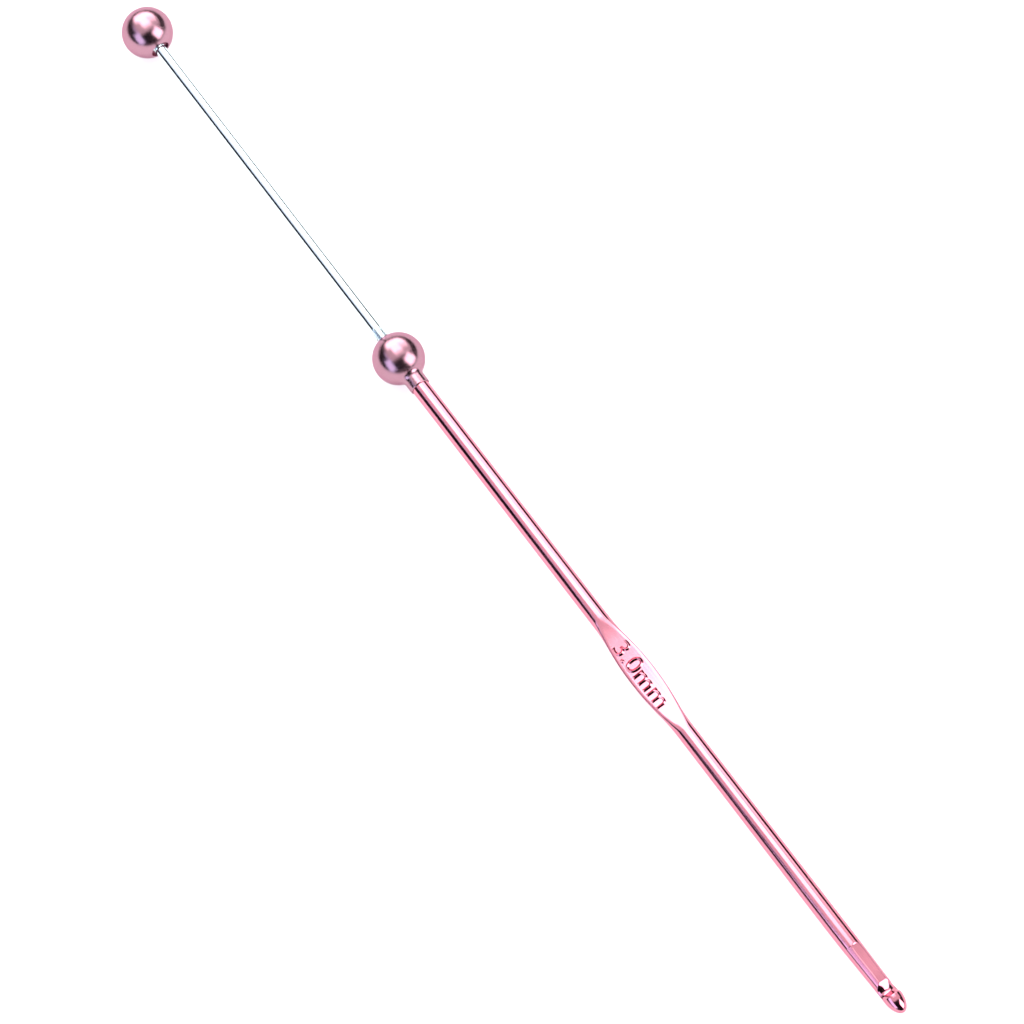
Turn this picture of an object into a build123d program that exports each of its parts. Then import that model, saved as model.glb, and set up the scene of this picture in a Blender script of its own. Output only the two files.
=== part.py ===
from build123d import *
import os
from math import cos, radians, sin

# Beadable crochet hook, in millimetres. +X runs along its axis to the tip of the hook, +Z is the side
# that the thumb rest faces, and the origin is on the table under the middle of its length.

# Driving dimensions
overall_length = 197.2
ball_diameter = 8.0
ball_spacing = 68.75  # centre to centre
rod_diameter = 1.8
shaft_diameter = 2.8
front_diameter = 2.9  # where the shaft meets the neck of the hook

# Screw threads of the bead rod, M2 by 0.4
thread_diameter = 1.98
thread_pitch = 0.4
thread_depth = 0.24
thread_mouth = 0.36  # width of the groove at the crest
thread_root = 0.05  # width of the groove at its root
thread_overcut = 0.03
thread_start_angle = 140
end_thread_length = 3.7
collar_thread_length = 4.85
end_groove_length = 3.5
collar_groove_length = 4.5
thread_runout = 0.7  # the crests fade into the plain rod over this length
rod_bevel = 0.24
rod_in_end_ball = 0.5  # past the ball's centre

# End ball: a blind tapped hole behind a wider mouth
mouth_diameter = 3.0
mouth_depth = 0.75
tapped_diameter = 2.06  # clears the crests of the thread
tapped_depth = 4.75
drill_point = 0.55

# Collar ball, with distances from the ball's centre
collar_diameter = 3.2
collar_reach = 5.85
collar_fillet = 1.0
collar_bevel = 0.12
socket_floor = 0.8
socket_bevel = 0.13
rod_hole_floor = 0.3
rod_hole_bevel = 0.1
rod_end_gap = 0.1

# Thumb rest, pressed flat from the round shaft on both sides
rest_from_tip = 62.1  # the middle of the rest
rest_length = 21.0
rest_thickness = 1.55
rest_flat_length = 12.0
rest_roll = -12.0  # degrees that the flat leans from +Z towards +Y
# Distance from the middle of the rest, and the half width and half height of the swollen metal
rest_swell = [(0, 2.1, 2.6), (2.8, 2.02, 2.45), (5.6, 1.76, 2.0), (7.8, 1.5, 1.55), (9.4, 1.39, 1.4)]

# Neck and head: distance back from the tip, radius, and how far the centre leans to +Y
neck_sections = [(14.2, 1.45, 0.0), (9.5, 1.38, 0.05), (4.7, 1.3, 0.1), (3.6, 1.35, 0.18), (2.6, 1.43, 0.25)]
head_fullness = 1.3  # how far back from the tip, and how far out at it, the two handles of the
nose_fullness = 0.8  # head's outline reach

# Throat, seen across the mouth: distance back from the tip, and height over the axis
mouth_roll = 10.0  # degrees that the mouth leans from +Z towards +Y
throat_start = (11.9, 1.5)
throat_floor_start = (11.4, 1.27)
throat_floor_end = (4.9, 1.12)
throat_bottom = (3.75, 0.42)
throat_lip = (2.62, 1.62)
facet_angle = 39.5  # degrees between a side facet and the floor
facet_start = (11.7, 1.36)  # distance back from the tip, and distance from the axis
facet_end = (4.4, 1.2)
cutter = 3.0  # larger than any section of the shaft

# Places along the axis
ball_radius = ball_diameter / 2
axis_height = ball_radius
tip_x = overall_length / 2
end_ball_x = ball_radius - overall_length / 2
collar_ball_x = end_ball_x + ball_spacing
collar_end_x = collar_ball_x + collar_reach
shaft_start_x = collar_ball_x + socket_floor
rest_x = tip_x - rest_from_tip
rod_start_x = end_ball_x - rod_in_end_ball
rod_end_x = collar_ball_x - rod_hole_floor - rod_end_gap

long_axis = Axis((0, 0, axis_height), (1, 0, 0))
side_view = Plane(origin=(0, 0, axis_height), x_dir=(1, 0, 0), z_dir=(0, -1, 0))
cross_view = Plane(origin=(0, 0, axis_height), x_dir=(0, 1, 0), z_dir=(1, 0, 0))
rest_side_view = side_view.rotated((-rest_roll, 0, 0))
rest_cross_view = cross_view.rotated((-rest_roll, 0, 0))
mouth_side_view = side_view.rotated((-mouth_roll, 0, 0))
mouth_up = mouth_side_view.y_dir
mouth_across = mouth_side_view.z_dir * -1

os.makedirs("parts", exist_ok=True)


def from_tip(point):
    """A point of a side view, given as its distance back from the tip and its height."""
    return (tip_x - point[0], point[1])


def half_ball(centre_x):
    """The upper half of a ball's section, to be revolved about the long axis."""
    with BuildSketch(side_view) as half:
        with BuildLine():
            left = (centre_x - ball_radius, 0)
            right = (centre_x + ball_radius, 0)
            ThreePointArc(left, (centre_x, ball_radius), right)
            Line(right, left)
        make_face()
    return half.sketch


def thread_groove(end_x, inwards, length):
    """The helical groove of a screw thread, from one pitch outside the rod's end inwards."""
    start_x = end_x - inwards * thread_pitch
    height = length + thread_pitch
    crest = thread_diameter / 2
    with BuildLine() as helix:
        Helix(thread_pitch, height, crest, center=(start_x, 0, axis_height), direction=(inwards, 0, 0))
    start = helix.line @ 0
    outwards = start - Vector(start_x, 0, axis_height)
    with BuildSketch(Plane(origin=start, x_dir=outwards, z_dir=helix.line % 0)) as groove:
        Polygon(
            (thread_overcut, -thread_mouth / 2),
            (thread_overcut, thread_mouth / 2),
            (-thread_depth, thread_root / 2),
            (-thread_depth, -thread_root / 2),
            align=None,
        )
    cut = sweep(groove.sketch, path=helix.line, is_frenet=True, mode=Mode.PRIVATE)
    return cut.rotate(long_axis, thread_start_angle)


# End ball, which unscrews to let beads on to the rod
with BuildPart() as end_ball:
    revolve(half_ball(end_ball_x), axis=long_axis)
    mouth_x = end_ball_x + (ball_radius**2 - (mouth_diameter / 2) ** 2) ** 0.5
    outside_x = end_ball_x + ball_radius + 1
    with BuildSketch(side_view):
        Polygon(
            (mouth_x - tapped_depth - drill_point, 0),
            (mouth_x - tapped_depth, tapped_diameter / 2),
            (mouth_x - mouth_depth, tapped_diameter / 2),
            (mouth_x - mouth_depth, mouth_diameter / 2),
            (outside_x, mouth_diameter / 2),
            (outside_x, 0),
            align=None,
        )
    revolve(axis=long_axis, mode=Mode.SUBTRACT)
end_ball.part.label = "end_ball"
export_step(end_ball.part, "parts/end_ball.step")

# Bead rod: a plain steel rod with a rolled screw thread at both ends
with BuildPart() as bead_rod:
    crest = thread_diameter / 2
    with BuildSketch(side_view):
        Polygon(
            (rod_start_x, 0),
            (rod_start_x, crest - rod_bevel),
            (rod_start_x + rod_bevel, crest),
            (rod_start_x + end_thread_length, crest),
            (rod_start_x + end_thread_length + thread_runout, rod_diameter / 2),
            (rod_end_x - collar_thread_length - thread_runout, rod_diameter / 2),
            (rod_end_x - collar_thread_length, crest),
            (rod_end_x - rod_bevel, crest),
            (rod_end_x, crest - rod_bevel),
            (rod_end_x, 0),
            align=None,
        )
    revolve(axis=long_axis)
    add(thread_groove(rod_start_x, 1, end_groove_length), mode=Mode.SUBTRACT)
    add(thread_groove(rod_end_x, -1, collar_groove_length), mode=Mode.SUBTRACT)
bead_rod.part.label = "bead_rod"
export_step(bead_rod.part, "parts/bead_rod.step")

# Collar ball: one turned piece, tapped for the rod and bored for the hook's shaft
with BuildPart() as collar_ball:
    revolve(half_ball(collar_ball_x), axis=long_axis)
    collar_radius = collar_diameter / 2
    centre_height = collar_radius + collar_fillet
    centre_reach = ((ball_radius + collar_fillet) ** 2 - centre_height**2) ** 0.5
    share = ball_radius / (ball_radius + collar_fillet)
    on_ball = (collar_ball_x + centre_reach * share, centre_height * share)
    on_collar = (collar_ball_x + centre_reach, collar_radius)
    with BuildSketch(side_view):
        with BuildLine():
            RadiusArc(on_ball, on_collar, -collar_fillet)
            Polyline(
                on_collar,
                (collar_end_x - collar_bevel, collar_radius),
                (collar_end_x, collar_radius - collar_bevel),
                (collar_end_x, 0),
                (collar_ball_x, 0),
                on_ball,
            )
        make_face()
    revolve(axis=long_axis)
    socket_radius = shaft_diameter / 2
    with BuildSketch(side_view):
        Polygon(
            (shaft_start_x, 0),
            (shaft_start_x, socket_radius),
            (collar_end_x - 2 * socket_bevel, socket_radius),
            (collar_end_x, socket_radius + socket_bevel),
            (collar_end_x + 1, socket_radius + socket_bevel),
            (collar_end_x + 1, 0),
            align=None,
        )
    revolve(axis=long_axis, mode=Mode.SUBTRACT)
    hole_radius = tapped_diameter / 2
    hole_mouth = hole_radius + rod_hole_bevel
    hole_mouth_x = collar_ball_x - (ball_radius**2 - hole_mouth**2) ** 0.5
    with BuildSketch(side_view):
        Polygon(
            (collar_ball_x - rod_hole_floor, 0),
            (collar_ball_x - rod_hole_floor, hole_radius),
            (hole_mouth_x + rod_hole_bevel, hole_radius),
            (hole_mouth_x, hole_mouth),
            (collar_ball_x - ball_radius - 1, hole_mouth),
            (collar_ball_x - ball_radius - 1, 0),
            align=None,
        )
    revolve(axis=long_axis, mode=Mode.SUBTRACT)
collar_ball.part.label = "collar_ball"
export_step(collar_ball.part, "parts/collar_ball.step")

# Hook shaft, one aluminium piece from inside the collar to the tip
with BuildPart() as hook_shaft:
    neck_x = tip_x - neck_sections[0][0]
    swell_end_x = rest_x + rest_swell[-1][0]
    with BuildSketch(side_view):
        Polygon(
            (shaft_start_x, 0),
            (shaft_start_x, shaft_diameter / 2),
            (swell_end_x, shaft_diameter / 2),
            (neck_x, front_diameter / 2),
            (neck_x, 0),
            align=None,
        )
    revolve(axis=long_axis)

    # The metal that the press squeezes out sideways at the thumb rest
    swell = [(-x, width, height) for x, width, height in reversed(rest_swell)] + rest_swell[1:]
    for x, half_width, half_height in swell:
        with BuildSketch(rest_cross_view.offset(rest_x + x)):
            Ellipse(half_width, half_height)
    loft()

    # The two flats of the thumb rest, with ramps at both ends
    ramp = (rest_length - rest_flat_length) / 2
    press = shaft_diameter / 2 - rest_thickness / 2
    ramp_radius = (ramp**2 + press**2) / (2 * press)
    for face in (1, -1):
        height = face * rest_thickness / 2
        outer = face * shaft_diameter / 2
        flat_start = (rest_x - rest_flat_length / 2, height)
        flat_end = (rest_x + rest_flat_length / 2, height)
        with BuildSketch(rest_side_view):
            with BuildLine():
                Line(flat_start, flat_end)
                TangentArc(flat_end, (flat_end[0] + ramp, outer), tangent=(1, 0))
                TangentArc(flat_start, (flat_start[0] - ramp, outer), tangent=(-1, 0))
                Polyline(
                    (flat_end[0] + ramp, outer),
                    (flat_end[0] + ramp, face * cutter),
                    (flat_start[0] - ramp, face * cutter),
                    (flat_start[0] - ramp, outer),
                )
            make_face()
        extrude(amount=cutter, both=True, mode=Mode.SUBTRACT)

    # The neck narrows, then widens into the head, and leans a little to +Y
    for back, radius, lean in neck_sections:
        with BuildSketch(cross_view.offset(tip_x - back)):
            with Locations((lean, 0)):
                Circle(radius)
    loft()

    # The head, a bullet with a round nose
    back, head_radius, lean = neck_sections[-1]
    head_axis = Axis((0, lean, axis_height), (1, 0, 0))
    shoulder = (tip_x - back, head_radius)
    with BuildSketch(side_view.offset(-lean)):
        with BuildLine():
            Bezier(shoulder, (tip_x - head_fullness, head_radius), (tip_x, nose_fullness), (tip_x, 0))
            Polyline((tip_x, 0), (tip_x - back, 0), shoulder)
        make_face()
    revolve(axis=head_axis)

    # The throat: a long shallow floor and a deep scoop behind the lip
    with BuildSketch(mouth_side_view):
        with BuildLine():
            Polyline(from_tip(throat_start), from_tip(throat_floor_start), from_tip(throat_floor_end))
            ThreePointArc(from_tip(throat_floor_end), from_tip(throat_bottom), from_tip(throat_lip))
            Polyline(
                from_tip(throat_lip),
                from_tip((throat_lip[0], cutter)),
                from_tip((throat_start[0], cutter)),
                from_tip(throat_start),
            )
        make_face()
    extrude(amount=cutter, both=True, mode=Mode.SUBTRACT)

    # A slanting facet beside the floor on each side
    for side in (1, -1):
        lean_out = radians(side * facet_angle)
        normal = mouth_up * cos(lean_out) + mouth_across * sin(lean_out)
        axis_point = Vector(tip_x, 0, axis_height)
        start = axis_point + Vector(-facet_start[0], 0, 0) + normal * facet_start[1]
        end = axis_point + Vector(-facet_end[0], 0, 0) + normal * facet_end[1]
        along = end - start
        across = normal.cross(along)
        with BuildSketch(Plane(origin=start, x_dir=along, z_dir=along.cross(across))):
            Rectangle(along.length, cutter, align=(Align.MIN, Align.CENTER))
        extrude(amount=cutter / 2, mode=Mode.SUBTRACT)
hook_shaft.part.label = "hook_shaft"
export_step(hook_shaft.part, "parts/hook_shaft.step")
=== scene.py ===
import bpy
import bmesh
import math
from mathutils import Matrix, Vector


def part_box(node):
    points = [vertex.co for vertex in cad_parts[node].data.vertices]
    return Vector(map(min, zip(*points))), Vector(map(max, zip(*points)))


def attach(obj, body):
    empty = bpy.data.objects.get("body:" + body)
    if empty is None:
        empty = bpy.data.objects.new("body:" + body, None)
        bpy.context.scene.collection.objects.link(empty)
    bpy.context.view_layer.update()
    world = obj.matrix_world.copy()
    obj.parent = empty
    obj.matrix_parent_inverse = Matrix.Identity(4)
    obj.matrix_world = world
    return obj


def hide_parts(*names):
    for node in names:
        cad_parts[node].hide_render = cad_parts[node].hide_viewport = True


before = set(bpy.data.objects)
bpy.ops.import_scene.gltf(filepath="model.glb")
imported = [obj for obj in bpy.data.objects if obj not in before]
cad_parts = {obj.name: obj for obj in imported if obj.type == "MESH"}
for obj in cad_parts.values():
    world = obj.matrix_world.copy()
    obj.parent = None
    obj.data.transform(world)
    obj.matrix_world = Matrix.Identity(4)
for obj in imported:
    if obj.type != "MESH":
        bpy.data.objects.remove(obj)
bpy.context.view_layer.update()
mm = 0.001
print("frame loaded")

# places along the axis, all in mm
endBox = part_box("end_ball")
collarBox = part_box("collar_ball")
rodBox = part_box("bead_rod")
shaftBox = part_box("hook_shaft")
ballRadius = 4.0
rodHoleRim = 1.13  # radius of the rod's hole where it opens on the collar ball
onAxis = 0.1  # a point closer to the axis than this is a pole
weldGap = 0.0004  # points closer than this are one
axisHeight = (endBox[0][2] + endBox[1][2]) / 2 / mm
endBallX = endBox[0][0] / mm + ballRadius
collarBallX = collarBox[0][0] / mm + (ballRadius ** 2 - rodHoleRim ** 2) ** 0.5
collarEndX = collarBox[1][0] / mm
rodStartX = rodBox[0][0] / mm
rodEndX = rodBox[1][0] / mm
shaftStartX = shaftBox[0][0] / mm
tipX = shaftBox[1][0] / mm


# small tools for the mesh work

def drawLine(bm, tip, places):
    # extrudes one vertex through places given as (along, out)
    for place in places:
        made = bmesh.ops.extrude_vert_indiv(bm, verts=[tip])
        tip = made["verts"][0]
        tip.co = Vector((place[0], 0, place[1]))
    return tip


def drawArc(bm, tip, centre, turn, steps):
    # sweeps one vertex round a centre in the profile's plane
    made = bmesh.ops.spin(bm, geom=[tip], cent=(centre[0], 0, centre[1]), axis=(0, 1, 0),
                          angle=math.radians(turn), steps=steps)
    return [item for item in made["geom_last"] if isinstance(item, bmesh.types.BMVert)][0]


def turnProfile(bm, steps):
    # one full turn of the profile about the long axis, then its poles are closed
    bmesh.ops.spin(bm, geom=bm.verts[:] + bm.edges[:], cent=(0, 0, 0), axis=(1, 0, 0),
                   angle=math.tau, steps=steps, use_merge=True)
    bmesh.ops.remove_doubles(bm, verts=bm.verts[:], dist=weldGap)
    bmesh.ops.recalc_face_normals(bm, faces=bm.faces[:])


def softenRings(bm, corners):
    # rounds the turned edges at (along, out, radius)
    near = 0.004
    for along, out, radius in corners:
        rings = [edge for edge in bm.edges
                 if all(abs(vert.co.x - along) < near and abs(math.hypot(vert.co.y, vert.co.z) - out) < near
                        for vert in edge.verts)]
        bmesh.ops.bevel(bm, geom=rings, offset=radius, offset_type="OFFSET", affect="EDGES",
                        segments=3, profile=0.5, material=-1)


def finishPiece(bm, name, body, node, material, soft=True):
    # lifts the mesh on to its axis, turns mm to metres and hands the piece to the frame
    bmesh.ops.translate(bm, verts=bm.verts[:], vec=(0, 0, axisHeight))
    bmesh.ops.scale(bm, verts=bm.verts[:], vec=(mm, mm, mm))
    for face in bm.faces:
        face.smooth = soft
    mesh = bpy.data.meshes.new(name)
    bm.to_mesh(mesh)
    bm.free()
    piece = bpy.data.objects.new(name, mesh)
    bpy.context.scene.collection.objects.link(piece)
    mesh.materials.append(material)
    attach(piece, body)
    if node:
        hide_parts(node)
    print(name, "made with", len(mesh.polygons), "faces")
    return piece


def softMin(a, b, blend):
    # the lower of two heights, with the crease between them rounded
    gap = max(blend - abs(a - b), 0) / blend
    return min(a, b) - gap * gap * blend / 4


def throughPoints(points, at):
    # a smooth curve through (place, value) points in rising order
    if at <= points[0][0]:
        return points[0][1]
    if at >= points[-1][0]:
        return points[-1][1]
    slot = max(i for i in range(len(points) - 1) if points[i][0] <= at)
    left, right = points[slot], points[slot + 1]
    before = points[max(slot - 1, 0)]
    after = points[min(slot + 2, len(points) - 1)]
    width = right[0] - left[0]
    slopeIn = (right[1] - before[1]) / (right[0] - before[0]) * width
    slopeOut = (after[1] - left[1]) / (after[0] - left[0]) * width
    t = (at - left[0]) / width
    return ((2 * t ** 3 - 3 * t ** 2 + 1) * left[1] + (t ** 3 - 2 * t ** 2 + t) * slopeIn
            + (3 * t ** 2 - 2 * t ** 3) * right[1] + (t ** 3 - t ** 2) * slopeOut)


# shared shader groups

def newGroup(name, inputs, outputs):
    # an empty group with its named sockets, and the nodes that stand for them inside
    group = bpy.data.node_groups.new(name, "ShaderNodeTree")
    for label, kind, value in inputs:
        socket = group.interface.new_socket(name=label, in_out="INPUT", socket_type=kind)
        socket.default_value = value
    for label, kind in outputs:
        group.interface.new_socket(name=label, in_out="OUTPUT", socket_type=kind)
    into = group.nodes.new("NodeGroupInput")
    into.location = (-900, 0)
    out = group.nodes.new("NodeGroupOutput")
    out.location = (700, 0)
    return group, into, out


def addNode(tree, kind, place, **settings):
    node = tree.nodes.new(kind)
    node.location = place
    for key, value in settings.items():
        setattr(node, key, value)
    return node


def makeTurningLines():
    # rings left by the lathe tool: they run round the long axis, so they change only along it
    group, into, out = newGroup(
        "turningLines",
        [("Spacing", "NodeSocketFloat", 4000.0), ("Wander", "NodeSocketFloat", 60.0)],
        [("Height", "NodeSocketFloat"), ("Mask", "NodeSocketFloat")])
    links = group.links
    coords = addNode(group, "ShaderNodeTexCoord", (-900, 300))
    split = addNode(group, "ShaderNodeSeparateXYZ", (-720, 300))
    links.new(coords.outputs["Object"], split.inputs[0])
    across = addNode(group, "ShaderNodeMath", (-540, 380), operation="MULTIPLY")
    links.new(split.outputs["X"], across.inputs[0])
    links.new(into.outputs["Spacing"], across.inputs[1])
    wobble = addNode(group, "ShaderNodeTexNoise", (-540, 120), noise_dimensions="3D")
    wobble.inputs["Detail"].default_value = 2.0
    links.new(coords.outputs["Object"], wobble.inputs["Vector"])
    links.new(into.outputs["Wander"], wobble.inputs["Scale"])
    shifted = addNode(group, "ShaderNodeMath", (-340, 300), operation="MULTIPLY_ADD")
    shifted.inputs[1].default_value = 1.2
    links.new(wobble.outputs["Fac"], shifted.inputs[0])
    links.new(across.outputs[0], shifted.inputs[2])
    rings = addNode(group, "ShaderNodeTexNoise", (-140, 300), noise_dimensions="1D")
    rings.inputs["Scale"].default_value = 1.0
    rings.inputs["Detail"].default_value = 3.0
    rings.inputs["Roughness"].default_value = 0.7
    links.new(shifted.outputs[0], rings.inputs["W"])
    curve = addNode(group, "ShaderNodeMapRange", (120, 120))
    curve.inputs["From Min"].default_value = 0.38
    curve.inputs["From Max"].default_value = 0.66
    links.new(rings.outputs["Fac"], curve.inputs["Value"])
    links.new(rings.outputs["Fac"], out.inputs["Height"])
    links.new(curve.outputs["Result"], out.inputs["Mask"])
    return group


def makeDrawnGrain():
    # faint lines along the metal, from drawing and polishing it lengthways, with a fine etch over them
    group, into, out = newGroup(
        "drawnGrain",
        [("Across", "NodeSocketFloat", 6000.0), ("Along", "NodeSocketFloat", 90.0),
         ("Etch", "NodeSocketFloat", 0.35)],
        [("Height", "NodeSocketFloat"), ("Mask", "NodeSocketFloat")])
    links = group.links
    coords = addNode(group, "ShaderNodeTexCoord", (-900, 300))
    stretch = addNode(group, "ShaderNodeCombineXYZ", (-720, 60))
    links.new(into.outputs["Along"], stretch.inputs["X"])
    links.new(into.outputs["Across"], stretch.inputs["Y"])
    links.new(into.outputs["Across"], stretch.inputs["Z"])
    place = addNode(group, "ShaderNodeVectorMath", (-540, 240), operation="MULTIPLY")
    links.new(coords.outputs["Object"], place.inputs[0])
    links.new(stretch.outputs[0], place.inputs[1])
    lines = addNode(group, "ShaderNodeTexNoise", (-340, 300))
    lines.inputs["Scale"].default_value = 1.0
    lines.inputs["Detail"].default_value = 4.0
    lines.inputs["Roughness"].default_value = 0.65
    links.new(place.outputs[0], lines.inputs["Vector"])
    etch = addNode(group, "ShaderNodeTexNoise", (-340, 20))
    etch.inputs["Scale"].default_value = 9000.0
    etch.inputs["Detail"].default_value = 2.0
    links.new(coords.outputs["Object"], etch.inputs["Vector"])
    both = addNode(group, "ShaderNodeMix", (-100, 200), data_type="FLOAT")
    links.new(into.outputs["Etch"], both.inputs["Factor"])
    links.new(lines.outputs["Fac"], both.inputs["A"])
    links.new(etch.outputs["Fac"], both.inputs["B"])
    curve = addNode(group, "ShaderNodeMapRange", (140, 60))
    curve.inputs["From Min"].default_value = 0.35
    curve.inputs["From Max"].default_value = 0.65
    links.new(both.outputs["Result"], curve.inputs["Value"])
    links.new(both.outputs["Result"], out.inputs["Height"])
    links.new(curve.outputs["Result"], out.inputs["Mask"])
    return group


def makeHandling():
    # cloudy smudges from fingers, and a scatter of hairline scratches
    group, into, out = newGroup(
        "handling",
        [("Smudge Size", "NodeSocketFloat", 120.0), ("Scratch Size", "NodeSocketFloat", 420.0)],
        [("Smudge", "NodeSocketFloat"), ("Scratches", "NodeSocketFloat")])
    links = group.links
    coords = addNode(group, "ShaderNodeTexCoord", (-900, 300))
    cloud = addNode(group, "ShaderNodeTexNoise", (-600, 320))
    cloud.inputs["Detail"].default_value = 5.0
    cloud.inputs["Roughness"].default_value = 0.55
    cloud.inputs["Distortion"].default_value = 0.6
    links.new(coords.outputs["Object"], cloud.inputs["Vector"])
    links.new(into.outputs["Smudge Size"], cloud.inputs["Scale"])
    cloudCurve = addNode(group, "ShaderNodeMapRange", (-360, 320))
    cloudCurve.inputs["From Min"].default_value = 0.36
    cloudCurve.inputs["From Max"].default_value = 0.68
    links.new(cloud.outputs["Fac"], cloudCurve.inputs["Value"])
    cracks = addNode(group, "ShaderNodeTexVoronoi", (-600, 0), feature="DISTANCE_TO_EDGE")
    cracks.inputs["Randomness"].default_value = 1.0
    links.new(coords.outputs["Object"], cracks.inputs["Vector"])
    links.new(into.outputs["Scratch Size"], cracks.inputs["Scale"])
    thin = addNode(group, "ShaderNodeMapRange", (-360, 0))
    thin.inputs["From Min"].default_value = 0.0
    thin.inputs["From Max"].default_value = 0.012
    thin.inputs["To Min"].default_value = 1.0
    thin.inputs["To Max"].default_value = 0.0
    links.new(cracks.outputs["Distance"], thin.inputs["Value"])
    few = addNode(group, "ShaderNodeMath", (-100, 60), operation="MULTIPLY")
    links.new(thin.outputs["Result"], few.inputs[0])
    links.new(cloudCurve.outputs["Result"], few.inputs[1])
    links.new(cloudCurve.outputs["Result"], out.inputs["Smudge"])
    links.new(few.outputs[0], out.inputs["Scratches"])
    return group


turningLines = makeTurningLines()
drawnGrain = makeDrawnGrain()
handling = makeHandling()
print("shader groups made")


# the three metal finishes

skinIor = 1.55  # of the clear skin over the dye or the plating


def metalFinish(name, values):
    # colour, gloss and bump of a metal, from the shared groups and this metal's own values
    material = bpy.data.materials.new(name)
    material.use_nodes = True
    tree = material.node_tree
    tree.nodes.clear()
    output = addNode(tree, "ShaderNodeOutputMaterial", (900, 0))
    metal = addNode(tree, "ShaderNodeBsdfPrincipled", (600, 0))
    tree.links.new(metal.outputs[0], output.inputs[0])
    metal.inputs["Metallic"].default_value = 1.0
    metal.inputs["Coat Weight"].default_value = values["coat"]
    metal.inputs["Coat Roughness"].default_value = values["coatRoughness"]
    metal.inputs["Coat IOR"].default_value = skinIor
    marks = addNode(tree, "ShaderNodeGroup", (-500, 200), node_tree=values["marks"])
    for label, value in values["marksSettings"].items():
        marks.inputs[label].default_value = value
    hands = addNode(tree, "ShaderNodeGroup", (-500, -150), node_tree=handling)
    hands.inputs["Smudge Size"].default_value = values["smudgeSize"]

    # colour: the base, a darker tone in the tool marks, a paler one where it is handled
    tone = addNode(tree, "ShaderNodeMix", (-200, 300), data_type="RGBA")
    tone.inputs["A"].default_value = values["colour"]
    tone.inputs["B"].default_value = values["markColour"]
    markShare = addNode(tree, "ShaderNodeMath", (-360, 320), operation="MULTIPLY")
    markShare.inputs[1].default_value = values["markShare"]
    tree.links.new(marks.outputs["Mask"], markShare.inputs[0])
    tree.links.new(markShare.outputs[0], tone.inputs["Factor"])
    worn = addNode(tree, "ShaderNodeMix", (60, 260), data_type="RGBA")
    worn.inputs["B"].default_value = values["wornColour"]
    tree.links.new(tone.outputs["Result"], worn.inputs["A"])
    wornShare = addNode(tree, "ShaderNodeMath", (-120, 60), operation="MULTIPLY")
    wornShare.inputs[1].default_value = values["wornShare"]
    tree.links.new(hands.outputs["Smudge"], wornShare.inputs[0])
    tree.links.new(wornShare.outputs[0], worn.inputs["Factor"])
    tree.links.new(worn.outputs["Result"], metal.inputs["Base Color"])
    metal.inputs["Specular Tint"].default_value = values["edgeTint"]  # where the surface turns away

    # gloss: smudges and scratches dull it a little
    rough = addNode(tree, "ShaderNodeMapRange", (60, -80))
    rough.inputs["To Min"].default_value = values["roughness"]
    rough.inputs["To Max"].default_value = values["roughness"] + values["smudgeRoughness"]
    tree.links.new(hands.outputs["Smudge"], rough.inputs["Value"])
    scratched = addNode(tree, "ShaderNodeMath", (260, -80), operation="MULTIPLY_ADD")
    scratched.inputs[1].default_value = values["scratchRoughness"]
    tree.links.new(hands.outputs["Scratches"], scratched.inputs[0])
    tree.links.new(rough.outputs["Result"], scratched.inputs[2])
    tree.links.new(scratched.outputs[0], metal.inputs["Roughness"])

    # bump: the tool marks
    bump = addNode(tree, "ShaderNodeBump", (260, -320))
    bump.inputs["Strength"].default_value = values["bumpStrength"]
    bump.inputs["Distance"].default_value = values["bumpDepth"]
    tree.links.new(marks.outputs["Height"], bump.inputs["Height"])
    tree.links.new(bump.outputs["Normal"], metal.inputs["Normal"])
    return material


anodisedValues = {
    "colour": (0.63, 0.235, 0.305, 1), "markColour": (0.54, 0.17, 0.24, 1), "markShare": 0.35,
    "wornColour": (0.72, 0.28, 0.36, 1), "wornShare": 0.4,
    "edgeTint": (0.86, 0.50, 0.58, 1),
    "coat": 0.35, "coatRoughness": 0.08,
    "roughness": 0.13, "smudgeRoughness": 0.05, "scratchRoughness": 0.08,
    "marks": drawnGrain, "marksSettings": {"Across": 5200.0, "Along": 60.0, "Etch": 0.4},
    "smudgeSize": 110.0, "bumpStrength": 0.25, "bumpDepth": 0.00002,
}
platedValues = {
    "colour": (0.42, 0.222, 0.275, 1), "markColour": (0.32, 0.145, 0.195, 1), "markShare": 0.5,
    "wornColour": (0.45, 0.25, 0.305, 1), "wornShare": 0.4,
    "edgeTint": (0.74, 0.52, 0.60, 1),
    "coat": 0.15, "coatRoughness": 0.2,
    "roughness": 0.19, "smudgeRoughness": 0.05, "scratchRoughness": 0.08,
    "marks": turningLines, "marksSettings": {"Spacing": 16000.0, "Wander": 90.0},
    "smudgeSize": 260.0, "bumpStrength": 0.35, "bumpDepth": 0.00002,
}
polishedValues = {
    "colour": (0.72, 0.82, 0.84, 1), "markColour": (0.55, 0.66, 0.69, 1), "markShare": 0.3,
    "wornColour": (0.78, 0.86, 0.875, 1), "wornShare": 0.4,
    "edgeTint": (0.85, 0.92, 0.95, 1),
    "coat": 0.0, "coatRoughness": 0.03,
    "roughness": 0.07, "smudgeRoughness": 0.04, "scratchRoughness": 0.06,
    "marks": drawnGrain, "marksSettings": {"Across": 7000.0, "Along": 45.0, "Etch": 0.25},
    "smudgeSize": 180.0, "bumpStrength": 0.15, "bumpDepth": 0.00001,
}
anodisedPink = metalFinish("anodisedPink", anodisedValues)
platedPink = metalFinish("platedPink", platedValues)
polishedSteel = metalFinish("polishedSteel", polishedValues)
print("metal finishes made")


# the end ball, bored blind from its mouth

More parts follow.
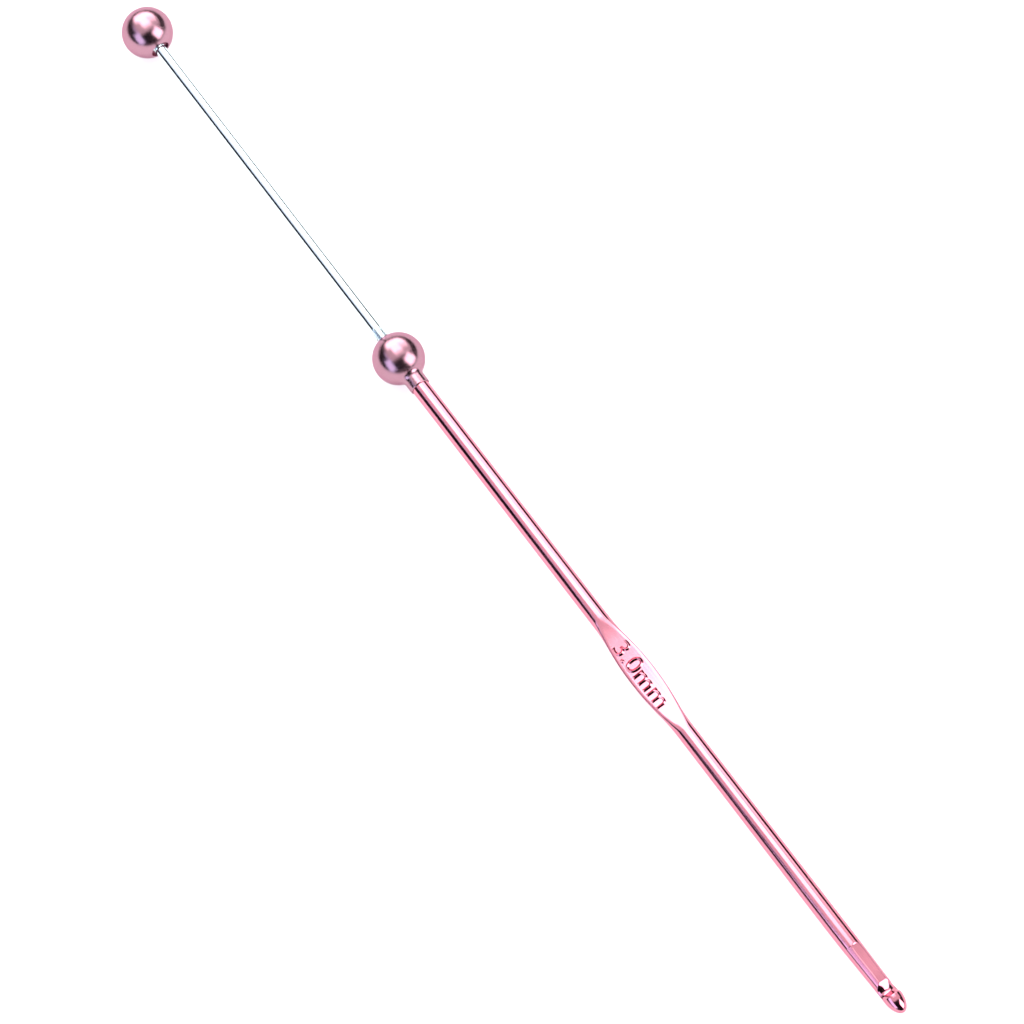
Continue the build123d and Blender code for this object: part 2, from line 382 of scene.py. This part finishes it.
endBallValues = {
    "mouthRadius": 1.5, "mouthDepth": 0.75, "tappedRadius": 1.03, "tappedDepth": 4.75,
    "drillPoint": 0.55, "arcSteps": 84, "turnSteps": 144, "mouthRounding": 0.07,
}


def makeEndBall(v):
    bm = bmesh.new()
    mouthX = endBallX + (ballRadius ** 2 - v["mouthRadius"] ** 2) ** 0.5
    tip = bm.verts.new((endBallX - ballRadius, 0, 0))
    sweep = 180 - math.degrees(math.asin(v["mouthRadius"] / ballRadius))
    tip = drawArc(bm, tip, (endBallX, 0), sweep, v["arcSteps"])
    drawLine(bm, tip, [
        (mouthX - v["mouthDepth"], v["mouthRadius"]),
        (mouthX - v["mouthDepth"], v["tappedRadius"]),
        (mouthX - v["tappedDepth"], v["tappedRadius"]),
        (mouthX - v["tappedDepth"] - v["drillPoint"], 0),
    ])
    turnProfile(bm, v["turnSteps"])
    softenRings(bm, [(mouthX, v["mouthRadius"], v["mouthRounding"]),
                     (mouthX - v["mouthDepth"], v["mouthRadius"], 0.05),
                     (mouthX - v["mouthDepth"], v["tappedRadius"], 0.04)])
    return finishPiece(bm, "endBall", "screw_ball", "end_ball", platedPink)


makeEndBall(endBallValues)


# the collar ball, turned in one with its collar

collarValues = {
    "collarRadius": 1.6, "fillet": 1.0, "endBevel": 0.12, "socketRadius": 1.4, "socketBevel": 0.13,
    "holeRadius": 1.03, "holeBevel": 0.1, "holeFloor": 0.3, "arcSteps": 84, "filletSteps": 12,
    "turnSteps": 144,
}


def makeCollarBall(v):
    bm = bmesh.new()
    holeMouth = v["holeRadius"] + v["holeBevel"]
    holeMouthX = collarBallX - (ballRadius ** 2 - holeMouth ** 2) ** 0.5
    tip = bm.verts.new((collarBallX - v["holeFloor"], 0, 0))
    tip = drawLine(bm, tip, [
        (collarBallX - v["holeFloor"], v["holeRadius"]),
        (holeMouthX + v["holeBevel"], v["holeRadius"]),
        (holeMouthX, holeMouth),
    ])
    # over the ball to where the fillet starts, then down the fillet to the collar
    filletHeight = v["collarRadius"] + v["fillet"]
    filletReach = ((ballRadius + v["fillet"]) ** 2 - filletHeight ** 2) ** 0.5
    fromPole = math.degrees(math.asin(holeMouth / ballRadius))
    toFillet = 180 - math.degrees(math.atan2(filletHeight, filletReach))
    tip = drawArc(bm, tip, (collarBallX, 0), toFillet - fromPole, v["arcSteps"])
    filletTurn = math.degrees(math.atan2(filletReach, filletHeight))
    tip = drawArc(bm, tip, (collarBallX + filletReach, filletHeight), -filletTurn, v["filletSteps"])
    drawLine(bm, tip, [
        (collarEndX - v["endBevel"], v["collarRadius"]),
        (collarEndX, v["collarRadius"] - v["endBevel"]),
        (collarEndX, v["socketRadius"] + v["socketBevel"] * 0.55),
        (collarEndX - 2 * v["socketBevel"], v["socketRadius"]),
        (shaftStartX, v["socketRadius"]),
        (shaftStartX, 0),
    ])
    turnProfile(bm, v["turnSteps"])
    softenRings(bm, [(collarEndX - v["endBevel"], v["collarRadius"], 0.05),
                     (holeMouthX, holeMouth, 0.03)])
    return finishPiece(bm, "collarBall", "hook_and_rod", "collar_ball", platedPink)


makeCollarBall(collarValues)


# the bead rod, with a thread cut on each end

rodValues = {
    "radius": 0.9, "crestRadius": 0.99, "rootRadius": 0.75, "pitch": 0.4, "runout": 0.7,
    "rootShare": 0.16, "flankShare": 0.62,  # of half a pitch
    "endThread": 3.7, "collarThread": 4.85, "endBevel": 0.24, "rowsPerPitch": 12,
    "turnSteps": 72, "plainRows": 24,
}


def threadHeight(v, along, turn, thread, inwards):
    # radius of a right-handed thread at one place on the rod
    depth = (along - thread[0]) * inwards
    plain = v["radius"]
    fade = min(max((thread[1] - depth) / v["runout"] + 1, 0), 1)
    phase = (along / v["pitch"] - turn / math.tau) % 1
    ridge = abs(phase - 0.5) * 2
    crest = min(max((ridge - v["rootShare"]) / v["flankShare"], 0), 1)
    cut = v["rootRadius"] + (v["crestRadius"] - v["rootRadius"]) * crest
    return plain + (cut - plain) * fade


def makeBeadRod(v):
    bm = bmesh.new()
    row = v["pitch"] / v["rowsPerPitch"]
    endDone = rodStartX + v["endThread"] + v["runout"]
    collarBegins = rodEndX - v["collarThread"] - v["runout"]
    places = [rodStartX + row * i for i in range(int((endDone - rodStartX) / row) + 1)]
    places += [endDone + (collarBegins - endDone) * i / v["plainRows"] for i in range(1, v["plainRows"])]
    rows = int((rodEndX - collarBegins) / row)
    places += [collarBegins + (rodEndX - collarBegins) * i / rows for i in range(rows + 1)]
    tip = bm.verts.new((rodStartX, 0, 0))
    tip = drawLine(bm, tip, [(place, v["radius"]) for place in places])
    drawLine(bm, tip, [(rodEndX, 0)])
    turnProfile(bm, v["turnSteps"])
    for vert in bm.verts:
        reach = math.hypot(vert.co.y, vert.co.z)
        if reach < onAxis:
            continue
        turn = math.atan2(vert.co.z, vert.co.y)
        along = vert.co.x
        out = v["radius"]
        if along < endDone:
            out = threadHeight(v, along, turn, (rodStartX, v["endThread"]), 1)
        if along > collarBegins:
            out = threadHeight(v, along, turn, (rodEndX, v["collarThread"]), -1)
        fromEnd = min(along - rodStartX, rodEndX - along)
        out = min(out, v["crestRadius"] - v["endBevel"] + fromEnd)
        vert.co.y = out * math.cos(turn)
        vert.co.z = out * math.sin(turn)
    bmesh.ops.recalc_face_normals(bm, faces=bm.faces[:])
    return finishPiece(bm, "beadRod", "hook_and_rod", "bead_rod", polishedSteel)


makeBeadRod(rodValues)


# the hook: shaft, thumb rest, neck, throat and head in one

hookValues = {
    "shaftRadius": 1.4, "turnSteps": 160,
    # thumb rest, pressed flat on both sides
    "restFromTip": 62.1, "restThickness": 1.55, "restFlat": 12.0, "restLength": 21.0, "restRoll": -12.0,
    "restWidth": [(0, 2.1), (2.8, 2.02), (5.6, 1.76), (7.8, 1.5), (9.6, 1.4)],
    "restHeight": [(0, 2.6), (2.8, 2.45), (5.6, 2.0), (7.8, 1.55), (9.6, 1.4)],
    "restRounding": 0.3, "restDish": 0.05, "restReach": 14,
    "restTwist": 0.2,  # degrees in a mm
    # neck and head, as distance back from the tip
    "bodyRadius": [(2.6, 1.43), (3.6, 1.35), (4.7, 1.3), (9.5, 1.38), (14.2, 1.45), (51.0, 1.4)],
    "bodyLean": [(2.6, 0.25), (3.6, 0.18), (4.7, 0.1), (9.5, 0.05), (14.2, 0.0)],
    "headFullness": 1.3, "noseFullness": 0.8,
    # rings of the mesh: distance back from the tip, and how many from there to the next place
    "rings": [(None, 12), (72.6, 200), (51.6, 12), (12.6, 60), (10.8, 40), (5.2, 100), (2.6, 0)],
    "noseRings": 48,
    # throat: distance back from the tip, and height over the axis towards the mouth
    "mouthRoll": 10.0, "scoopFrom": 4.7, "scoopBlend": 0.8, "scoopCrown": 0.3,
    "floor": [(2.6, 2.2), (2.75, 1.55), (3.1, 0.92), (3.5, 0.55), (3.9, 0.5), (4.4, 0.72), (4.9, 0.99),
              (5.3, 1.13), (8.0, 1.19), (11.2, 1.27), (12.0, 1.5), (12.4, 2.0)],
    "facetAngle": 39.5, "facetStart": (11.7, 1.36), "facetEnd": (4.4, 1.2), "farFacetLift": 0.12,
    "facetFade": 1.6,
    "throatRounding": 0.04, "scoopRounding": 0.45,
}


grazing = 0.05  # a cut that is nearer to edge on than this doesn't reach the metal


def noseOutline(v, t):
    # the head's outline from its shoulder to the tip: distance back and radius
    shoulder = v["bodyRadius"][0]
    points = [shoulder, (v["headFullness"], shoulder[1]), (0, v["noseFullness"]), (0, 0)]
    weights = [(1 - t) ** 3, 3 * t * (1 - t) ** 2, 3 * t * t * (1 - t), t ** 3]
    return (sum(w * p[0] for w, p in zip(weights, points)), sum(w * p[1] for w, p in zip(weights, points)))


def crownedCut(height, crown, turned):
    # distance out to a floor that falls away to both sides by crown times the width squared
    upwards = math.cos(turned)
    across = crown * math.sin(turned) ** 2
    if across < 0.001:
        return height / upwards if upwards > grazing else math.inf
    return (math.sqrt(upwards ** 2 + 4 * across * height) - upwards) / (2 * across)


def facetHeight(v, back):
    # height of the flat cut beside the floor, which lifts clear of the metal past both its ends
    start, end = v["facetStart"], v["facetEnd"]
    share = (back - end[0]) / (start[0] - end[0])
    height = end[1] + share * (start[1] - end[1])
    past = max(back - start[0], end[0] - back, 0)
    return height + past * v["facetFade"]


def hookSection(v, along, back, turn, lean):
    # distance from the section's own middle to the skin, at one place and one angle from +Y
    out = throughPoints(v["bodyRadius"], back)
    fromRest = abs(along - (tipX - v["restFromTip"]))
    if fromRest < v["restReach"]:
        wide = throughPoints(v["restWidth"], fromRest)
        high = throughPoints(v["restHeight"], fromRest)
        onRest = turn + math.radians(v["restRoll"] + v["restTwist"] * (along - tipX + v["restFromTip"]))
        out = 1 / math.hypot(math.cos(onRest) / wide, math.sin(onRest) / high)
        ramp = (v["restLength"] - v["restFlat"]) / 2
        press = v["shaftRadius"] - v["restThickness"] / 2
        rampRadius = (ramp ** 2 + press ** 2) / (2 * press)
        onRamp = max(fromRest - v["restFlat"] / 2, 0)
        flat = v["restThickness"] / 2 + rampRadius - max(rampRadius ** 2 - onRamp ** 2, 0) ** 0.5
        flat -= v["restDish"] * max(1 - (fromRest / v["restFlat"] * 2) ** 2, 0)
        upwards = abs(math.sin(onRest))
        if upwards > grazing:
            out = softMin(out, flat / upwards, v["restRounding"])
    if back < v["floor"][-1][0]:
        # the floor and the two facets, whose creases soften towards the scoop
        intoScoop = min(max((v["scoopFrom"] - back) / v["scoopBlend"] + 0.5, 0), 1)
        rounding = v["throatRounding"] + intoScoop * (v["scoopRounding"] - v["throatRounding"])
        fromMouth = math.pi / 2 - turn - math.radians(v["mouthRoll"])
        leanShare = lean * math.sin(math.radians(v["mouthRoll"]))
        height = throughPoints(v["floor"], back) - leanShare
        if abs(fromMouth) < math.pi / 2 and height > 0:
            out = softMin(out, crownedCut(height, v["scoopCrown"] * intoScoop, fromMouth), rounding)
        facetTilt = math.radians(v["facetAngle"])
        for tilt, lift in ((facetTilt, v["farFacetLift"]), (-facetTilt, 0)):
            upwards = math.cos(fromMouth - tilt)
            leanShare = lean * math.sin(math.radians(v["mouthRoll"]) + tilt)
            if upwards > grazing:
                out = softMin(out, (facetHeight(v, back) + lift - leanShare) / upwards, v["throatRounding"])
    return out


def hookStations(v):
    # where the rings lie: far apart on the plain shaft, close together at the rest and the throat
    places = []
    for (back, rows), (nextBack, _) in zip(v["rings"], v["rings"][1:]):
        start = shaftStartX if back is None else tipX - back
        length = tipX - nextBack - start
        places += [(start + length * i / rows, None) for i in range(rows)]
    for i in range(v["noseRings"] + 1):
        back, radius = noseOutline(v, i / v["noseRings"])
        places.append((tipX - back, radius))
    return places


def makeHook(v):
    bm = bmesh.new()
    stations = hookStations(v)
    tip = bm.verts.new((shaftStartX, 0, 0))
    drawLine(bm, tip, [(place, 1.0) for place, radius in stations[:-1]] + [(tipX, 0)])
    turnProfile(bm, v["turnSteps"])
    noseRings = [(place, radius) for place, radius in stations if radius is not None]
    for vert in bm.verts:
        along = vert.co.x
        back = tipX - along
        lean = throughPoints(v["bodyLean"], back)
        reach = math.hypot(vert.co.y, vert.co.z)
        if reach < onAxis:
            vert.co.y = lean
            continue
        turn = math.atan2(vert.co.z, vert.co.y)
        if back < v["bodyRadius"][0][0] + weldGap:
            out = min(noseRings, key=lambda ring: abs(ring[0] - along))[1]
        else:
            out = hookSection(v, along, back, turn, lean)
        vert.co.y = lean + out * math.cos(turn)
        vert.co.z = out * math.sin(turn)
    bmesh.ops.recalc_face_normals(bm, faces=bm.faces[:])
    return finishPiece(bm, "hookShaft", "hook_and_rod", "hook_shaft", anodisedPink)


makeHook(hookValues)


# size mark, raised on the thumb rest

markValues = {
    "words": "3.0mm", "height": 3.78, "widening": 1.14, "spacing": 1.0, "flank": 0.25, "thinning": 0.17,
    "middleFromTip": 62.1, "restRoll": -12.0, "baseline": 1.30, "sunk": 0.04, "curveSteps": 10,
    "weld": 0.001,
}


def makeSizeMark(v):
    curve = bpy.data.curves.new("sizeMark", "FONT")
    curve.body = v["words"]
    curve.size = v["height"]
    curve.space_character = v["spacing"]
    curve.bevel_depth = v["flank"]
    curve.bevel_resolution = 0  # plain sloping flanks
    curve.offset = -v["thinning"]
    curve.resolution_u = v["curveSteps"]
    words = bpy.data.objects.new("sizeMarkWords", curve)
    bpy.context.scene.collection.objects.link(words)
    bpy.context.view_layer.update()
    mesh = bpy.data.meshes.new_from_object(words.evaluated_get(bpy.context.evaluated_depsgraph_get()))
    bpy.data.objects.remove(words)
    bm = bmesh.new()
    bm.from_mesh(mesh)
    bmesh.ops.remove_doubles(bm, verts=bm.verts[:], dist=v["weld"])
    bmesh.ops.recalc_face_normals(bm, faces=bm.faces[:])
    bmesh.ops.scale(bm, verts=bm.verts[:], vec=(v["widening"], 1, 1))
    low = min(vert.co.x for vert in bm.verts)
    high = max(vert.co.x for vert in bm.verts)
    bmesh.ops.translate(bm, verts=bm.verts[:], vec=(-(low + high) / 2, -v["baseline"], 0))
    # it reads towards the hook's end, with its foot on the -Y side
    onFlat = hookValues["restThickness"] / 2 - v["sunk"]
    bmesh.ops.translate(bm, verts=bm.verts[:], vec=(tipX - v["middleFromTip"], 0, onFlat))
    bmesh.ops.rotate(bm, verts=bm.verts[:], cent=(0, 0, 0),
                     matrix=Matrix.Rotation(math.radians(-v["restRoll"]), 3, "X"))
    return finishPiece(bm, "sizeMark", "hook_and_rod", None, anodisedPink, soft=False)


makeSizeMark(markValues)


# floor, lights and camera

studioValues = {
    "floorSize": 6.0, "floorColour": (0.86, 0.86, 0.865, 1),
    "lens": 153.4, "camera": (0.22330, -0.12555, 0.59218), "aim": (0.00440, -0.00055, 0.00388),
    "right": (0.5733, 0.8184, -0.0394),
    "worldColour": (0.008, 0.006, 0.009, 1), "worldStrength": 1.0,
}


def makeFloor(v):
    bm = bmesh.new()
    bmesh.ops.create_grid(bm, x_segments=1, y_segments=1, size=v["floorSize"] / 2)
    mesh = bpy.data.meshes.new("floor")
    bm.to_mesh(mesh)
    bm.free()
    floor = bpy.data.objects.new("floor", mesh)
    bpy.context.scene.collection.objects.link(floor)
    material = bpy.data.materials.new("paleFloor")
    material.use_nodes = True
    paint = material.node_tree.nodes["Principled BSDF"]
    paint.inputs["Base Color"].default_value = v["floorColour"]
    paint.inputs["Roughness"].default_value = 0.9
    paint.inputs["Specular IOR Level"].default_value = 0.1
    mesh.materials.append(material)


# each light is a glowing sheet: its middle, the run of its long side, its size in metres, and which
# way it faces, where None is towards the hook
lightValues = {
    "wideSheet": {"middle": (-1.85, 0.46, 0.9), "long": (1, 0, 0), "length": 4.3, "breadth": 2.52,
                  "radiance": 1.2, "colour": (1.0, 0.96, 0.965), "faces": (0, 0, -1)},
    "brightSheet": {"middle": (-0.49, 0.11, 0.88), "long": (1, 0, 0), "length": 0.72, "breadth": 0.62,
                    "radiance": 3.4, "colour": (1.0, 0.985, 0.975), "faces": (0, 0, -1)},
    "fadeSheet": {"middle": (-0.04, 0.11, 0.88), "long": (1, 0, 0), "length": 0.18, "breadth": 0.62,
                  "radiance": 1.4, "colour": (1.0, 0.985, 0.975), "faces": (0, 0, -1)},
    "fillSheet": {"middle": (-0.55, 0.90, 0.88), "long": (1, 0, 0), "length": 0.6, "breadth": 0.9,
                  "radiance": 1.9, "colour": (1.0, 0.985, 0.975), "faces": (0, 0, -1)},
    "backSheet": {"middle": (-1.75, 0.60, 0.88), "long": (1, 0, 0), "length": 1.8, "breadth": 2.2,
                  "radiance": 4.0, "colour": (1.0, 0.985, 0.975), "faces": (0, 0, -1)},
    "sideSheet": {"middle": (0.80, 0.625, 0.63), "long": (0.6, -0.8, 0), "length": 0.85, "breadth": 1.0,
                  "radiance": 4.6, "colour": (1.0, 0.98, 1.0), "faces": None},
    "coolStrip": {"middle": (-0.53, -0.95, 0.88), "long": (1, 0, 0), "length": 1.06, "breadth": 0.24,
                  "radiance": 1.7, "colour": (0.70, 0.74, 1.0), "faces": (0, 0, -1)},
    "coolSheet": {"middle": (0.27, -0.84, 0.41), "long": (-0.887, 0.077, 0.46), "length": 0.9, "breadth": 0.5,
                  "radiance": 3.0, "colour": (0.62, 0.74, 1.0), "faces": None},
}


def addSheet(name, light):
    # one area light, turned so that its back is away from what it lights
    middle = Vector(light["middle"])
    back = -Vector(light["faces"]) if light["faces"] else middle.normalized()
    side = Vector(light["long"])
    side = (side - back * side.dot(back)).normalized()
    top = back.cross(side)
    data = bpy.data.lights.new(name, "AREA")
    data.shape = "RECTANGLE"
    data.size = light["length"]
    data.size_y = light["breadth"]
    data.energy = light["radiance"] * math.pi * light["length"] * light["breadth"]  # watts
    data.color = light["colour"]
    data.use_shadow = name == "wideSheet"  # only the widest sheet shades the floor
    sheet = bpy.data.objects.new(name, data)
    bpy.context.scene.collection.objects.link(sheet)
    sheet.matrix_world = Matrix.Translation(middle) @ Matrix((side, top, back)).transposed().to_4x4()


def makeLights():
    for name, light in lightValues.items():
        addSheet(name, light)
    world = bpy.data.worlds.new("room")
    bpy.context.scene.world = world
    world.use_nodes = True
    world.node_tree.nodes["Background"].inputs["Color"].default_value = studioValues["worldColour"]
    world.node_tree.nodes["Background"].inputs["Strength"].default_value = studioValues["worldStrength"]


def makeCamera(v):
    data = bpy.data.cameras.new("camera")
    data.lens = v["lens"]
    data.sensor_width = 36
    data.clip_start = 0.01
    data.clip_end = 20
    camera = bpy.data.objects.new("camera", data)
    bpy.context.scene.collection.objects.link(camera)
    back = (Vector(v["camera"]) - Vector(v["aim"])).normalized()
    side = Vector(v["right"])
    side = (side - back * side.dot(back)).normalized()
    top = back.cross(side)
    turn = Matrix((side, top, back)).transposed().to_4x4()
    camera.matrix_world = Matrix.Translation(v["camera"]) @ turn
    bpy.context.scene.camera = camera


bpy.context.scene.view_settings.view_transform = "Standard"
makeFloor(studioValues)
makeLights()
makeCamera(studioValues)
print("studio made")
